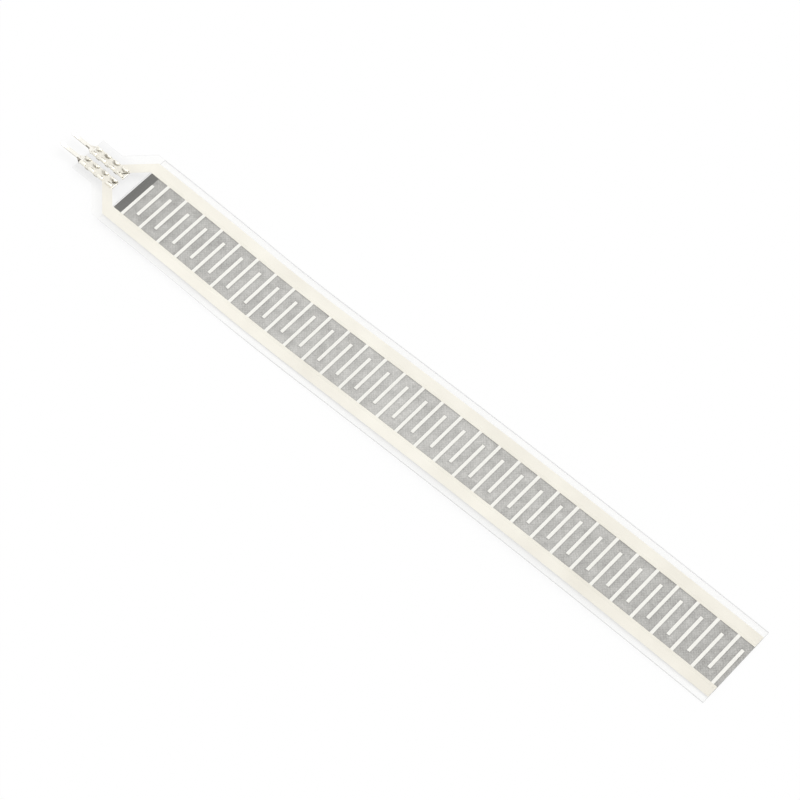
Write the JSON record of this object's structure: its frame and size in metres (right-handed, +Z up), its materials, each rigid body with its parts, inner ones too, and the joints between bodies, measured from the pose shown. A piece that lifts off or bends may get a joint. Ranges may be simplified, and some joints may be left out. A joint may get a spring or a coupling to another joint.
{
  "type": "force sensing resistor",
  "caption": "Long, narrow force sensing resistor: clear film strip with interleaved silver combs over a carbon layer, cut square at one end, with crimped solder pins at the other.",
  "frame": {"origin": "middle of the outer box in plan, on the surface that the strip lies on", "axes": "+X along the strip from the solder pins to the cut end, +Y across the strip, +Z up, square to the sensing face"},
  "size_m": [0.1386, 0.0152, 0.0025],
  "materials": {
    "clear_film": "clear polyester film, smooth and glossy",
    "liner_film": "clear release film, smooth",
    "clear_adhesive": "clear acrylic adhesive film",
    "carbon_ink": "matt screen-printed carbon ink with a fine woven texture",
    "silver_ink": "matt screen-printed silver ink, cream through the film",
    "tinned_brass": "stamped brass with bright tin plating"
  },
  "bodies": {
    "root": {"release_liner": "liner_film", "rear_adhesive": "clear_adhesive", "carbon_film": "clear_film", "carbon_layer": "carbon_ink", "spacer_adhesive": "clear_adhesive", "left_comb_electrode": "silver_ink", "right_comb_electrode": "silver_ink", "electrode_film": "clear_film", "left_solder_terminal": "tinned_brass", "right_solder_terminal": "tinned_brass"}
  },
  "joints": []
}
